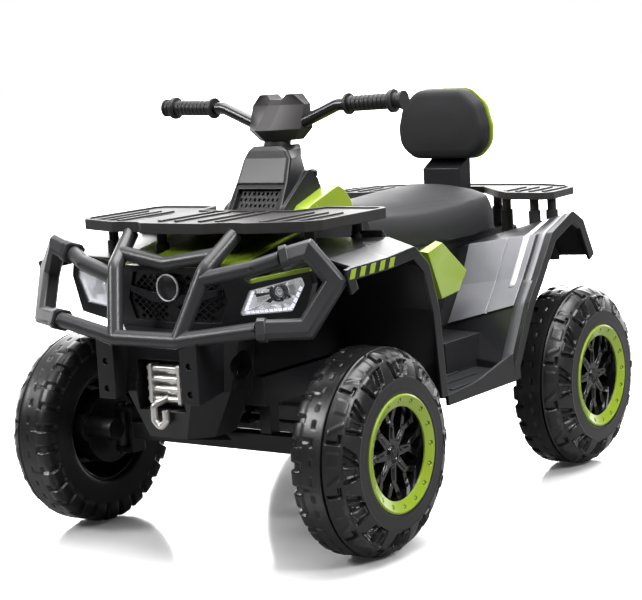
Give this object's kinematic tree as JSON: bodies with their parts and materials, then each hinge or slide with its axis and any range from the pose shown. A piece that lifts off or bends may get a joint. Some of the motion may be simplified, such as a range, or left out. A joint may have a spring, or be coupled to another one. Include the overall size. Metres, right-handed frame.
{
  "type": "ride-on quad bike",
  "caption": "Child's electric ride-on quad bike with lugged wheels, tube bumper, load racks, saddle with backrest and steering that turns the front wheels",
  "frame": {"origin": "on the floor, under the middle of the whole bike", "axes": "front towards -Y, rider's left towards +X, up +Z"},
  "size_m": [0.742, 1.125, 0.759],
  "materials": {
    "body_black": "fine texture",
    "rack_black": "satin",
    "bumper_grey": "satin",
    "mesh_black": "satin",
    "green": "gloss",
    "silver": "metallic satin",
    "seat_vinyl": "fine grain",
    "steel_dark": "satin",
    "bar_black": "satin",
    "grip_rubber": "matte",
    "case_black": "matte",
    "chrome": "polished",
    "reflector": "polished",
    "lens": "clear",
    "tyre": "matte",
    "rim_black": "gloss"
  },
  "bodies": {
    "chassis": {"chassis_tub": "body_black", "body_spine": "body_black", "batteries": "case_black", "control_box": "case_black", "rear_gearboxes": "case_black", "rear_axle": "steel_dark", "front_axle": "steel_dark", "skid_nose": "body_black", "bumper_brackets": "body_black", "bumper_tubes": "bumper_grey", "bumper_guards": "bumper_grey", "winch": "chrome", "front_fascia": "body_black", "grille_mesh": "mesh_black", "headlight_bowls": "reflector", "headlight_lenses": "lens", "front_hood": "green", "front_fender_left": "body_black", "front_fender_right": "body_black", "front_rack": "rack_black", "rack_posts": "rack_black", "dash_tower": "body_black", "tower_vent": "mesh_black", "tank_panels": "green", "footboard_left": "body_black", "footboard_right": "body_black", "side_accents": "green", "side_panels": "silver", "seat": "seat_vinyl", "backrest_post": "body_black", "backrest_shell": "green", "backrest_pad": "seat_vinyl", "rear_fender_left": "body_black", "rear_fender_right": "body_black", "rear_rack": "rack_black", "tail_panel": "body_black"},
    "steering": {"steering_column": "steel_dark", "handlebar": "bar_black", "handlebar_grips": "grip_rubber", "handlebar_pod": "rack_black"},
    "tie_rod": {"tie_rod": "steel_dark"},
    "knuckle_left": {"knuckle_left": "steel_dark", "front_gearbox_left": "case_black"},
    "knuckle_right": {"knuckle_right": "steel_dark", "front_gearbox_right": "case_black"},
    "pedal": {"accelerator_pedal": "grip_rubber"},
    "knob": {"power_button": "body_black"},
    "wheel_front_left": {"tyre_front_left": "tyre", "rim_front_left": "rim_black", "bead_ring_front_left": "green"},
    "wheel_front_right": {"tyre_front_right": "tyre", "rim_front_right": "rim_black", "bead_ring_front_right": "green"},
    "wheel_rear_left": {"tyre_rear_left": "tyre", "rim_rear_left": "rim_black", "bead_ring_rear_left": "green"},
    "wheel_rear_right": {"tyre_rear_right": "tyre", "rim_rear_right": "rim_black", "bead_ring_rear_right": "green"}
  },
  "joints": [
    {"name": "steer", "type": "hinge", "parent": "chassis", "child": "steering", "pos_m": [0, -0.33315, 0.23053], "axis": [0, 0.3746, 0.9272], "range_deg": [-26, 26]},
    {"name": "tie_slide", "type": "slide", "parent": "chassis", "child": "tie_rod", "axis": [1, 0, 0], "range_m": [-0.0226, 0.0226]},
    {"name": "kingpin_left", "type": "hinge", "parent": "chassis", "child": "knuckle_left", "pos_m": [0.235, -0.36, 0.175], "axis": [0, 0, 1], "range_deg": [-19.6, 19.6]},
    {"name": "kingpin_right", "type": "hinge", "parent": "chassis", "child": "knuckle_right", "pos_m": [-0.235, -0.36, 0.175], "axis": [0, 0, 1], "range_deg": [-19.6, 19.6]},
    {"name": "spin_front_left", "type": "hinge", "parent": "knuckle_left", "child": "wheel_front_left", "pos_m": [0.316, -0.36, 0.175], "axis": [1, 0, 0], "continuous": true},
    {"name": "spin_front_right", "type": "hinge", "parent": "knuckle_right", "child": "wheel_front_right", "pos_m": [-0.316, -0.36, 0.175], "axis": [1, 0, 0], "continuous": true},
    {"name": "spin_rear_left", "type": "hinge", "parent": "chassis", "child": "wheel_rear_left", "pos_m": [0.316, 0.36, 0.175], "axis": [1, 0, 0], "continuous": true},
    {"name": "spin_rear_right", "type": "hinge", "parent": "chassis", "child": "wheel_rear_right", "pos_m": [-0.316, 0.36, 0.175], "axis": [1, 0, 0], "continuous": true},
    {"name": "press_pedal", "type": "hinge", "parent": "chassis", "child": "pedal", "pos_m": [-0.25, -0.058, 0.243], "axis": [1, 0, 0], "range_deg": [0, 12], "stiffness_Nm_per_rad": 1.5, "springref_deg": -8.59},
    {"name": "press_button", "type": "slide", "parent": "chassis", "child": "knob", "axis": [0, -0.669, -0.7433], "range_m": [0, 0.003], "stiffness_N_per_m": 300, "springref_m": -0.002}
  ],
  "couplings": [
    {"joint": "tie_slide", "follows": "steer", "m_per_rad": -0.0495},
    {"joint": "kingpin_left", "follows": "steer", "ratio": 0.75},
    {"joint": "kingpin_right", "follows": "steer", "ratio": 0.75}
  ]
}
